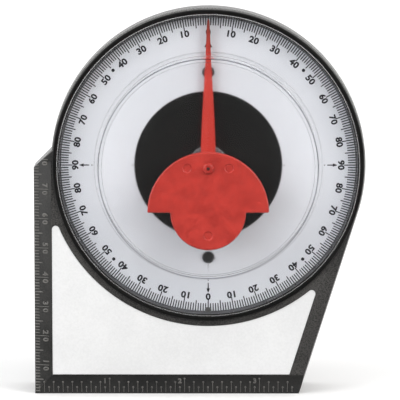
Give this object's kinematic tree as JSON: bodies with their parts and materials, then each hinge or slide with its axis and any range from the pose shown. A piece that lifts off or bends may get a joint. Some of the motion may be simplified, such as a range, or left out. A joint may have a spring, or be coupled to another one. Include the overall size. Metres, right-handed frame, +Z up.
{
  "type": "magnetic inclinometer",
  "caption": "Magnetic-base angle finder: round dial with a pendulum needle under a stepped clear lens, on a right-angled base with ruler edges.",
  "frame": {"origin": "on the base face, directly under the dial axis, half way through the housing's depth", "axes": "+Z up from the base face, X along the base edge, the dial faces -Y"},
  "size_m": [0.1122, 0.0358, 0.1314],
  "materials": {
    "housing_plastic": "black moulded plastic with a fine grain",
    "cover_plastic": "black moulded plastic, flat",
    "clear_lens": "clear polished plastic",
    "dial_white": "white card with black print",
    "label_silver": "satin silver-white plate, bare",
    "flange_grey": "satin grey",
    "pin_steel": "bright ground steel",
    "bush_brass": "turned brass",
    "pendulum_red": "red moulded plastic, satin",
    "needle_red": "red moulded plastic, satin",
    "ballast_steel": "zinc-plated steel",
    "magnet_ferrite": "dark grey sintered ferrite",
    "pole_steel": "ground steel",
    "screw_steel": "zinc-plated steel"
  },
  "bodies": {
    "body": {"housing_shell": "housing_plastic", "rear_cover": "cover_plastic", "lens_cover": "clear_lens", "dial_card": "dial_white", "base_label": "label_silver", "axle_flange": "flange_grey", "pivot_axle": "pin_steel", "base_magnet_1": "magnet_ferrite", "base_magnet_2": "magnet_ferrite", "pole_plate_front": "pole_steel", "pole_plate_rear": "pole_steel", "cover_screw_1": "screw_steel", "cover_screw_2": "screw_steel", "cover_screw_3": "screw_steel"},
    "pointer": {"pendulum_plate": "pendulum_red", "pointer_needle": "needle_red", "ballast_weight": "ballast_steel", "hub_bush": "bush_brass"}
  },
  "joints": [
    {"name": "pointer_swing", "type": "hinge", "parent": "body", "child": "pointer", "pos_m": [0, 0, 0.078], "axis": [0, 1, 0], "continuous": true}
  ]
}
